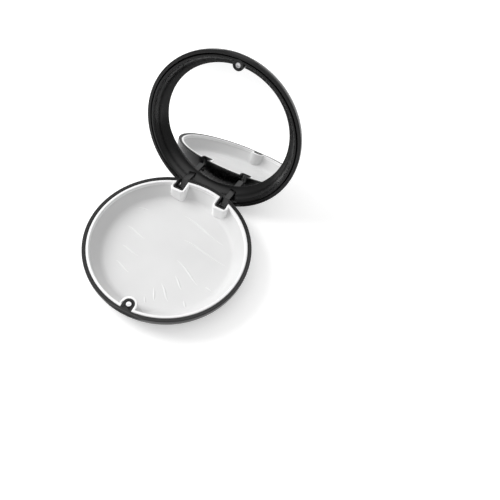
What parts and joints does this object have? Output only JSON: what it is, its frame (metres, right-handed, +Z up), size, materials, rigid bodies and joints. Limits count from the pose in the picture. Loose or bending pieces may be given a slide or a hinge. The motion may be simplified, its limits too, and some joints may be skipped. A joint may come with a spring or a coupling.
{
  "type": "mirrored compact case",
  "caption": "Round pebble-shaped hinged case with a mirror inside its lid, a white lift-out tray in its base, gooseneck hinge arms in open sockets and a magnetic catch with a thumb scoop.",
  "frame": {"origin": "centre of the flat underside of the base, on the axis of the round case; the rubber feet reach below it", "axes": "+Z up out of the tray, -Y towards the catch at the front, +Y towards the hinge, +X along the hinge axis"},
  "size_m": [0.088, 0.1243, 0.0829],
  "materials": {
    "black_plastic": "satin moulded",
    "white_plastic": "satin moulded",
    "mirror_glass": "polished",
    "adhesive_foam": "foam",
    "magnet_plate": "nickel plated",
    "steel_pin": "drawn",
    "rubber_foot": "matt"
  },
  "bodies": {
    "base": {"base_shell": "black_plastic", "tray": "white_plastic", "base_magnet": "magnet_plate", "hinge_pin_left": "steel_pin", "hinge_pin_right": "steel_pin", "foot_front_left": "rubber_foot", "foot_front_right": "rubber_foot", "foot_back_left": "rubber_foot", "foot_back_right": "rubber_foot"},
    "lid": {"lid_shell": "black_plastic", "mirror_bezel": "black_plastic", "mirror": "mirror_glass", "mirror_tape": "adhesive_foam", "hinge_arm_left": "black_plastic", "hinge_arm_right": "black_plastic", "lid_magnet": "magnet_plate"}
  },
  "joints": [
    {"name": "lid_hinge", "type": "hinge", "parent": "base", "child": "lid", "pos_m": [0, 0.039, 0.0068], "axis": [1, 0, 0], "range_deg": [0, 110]}
  ]
}
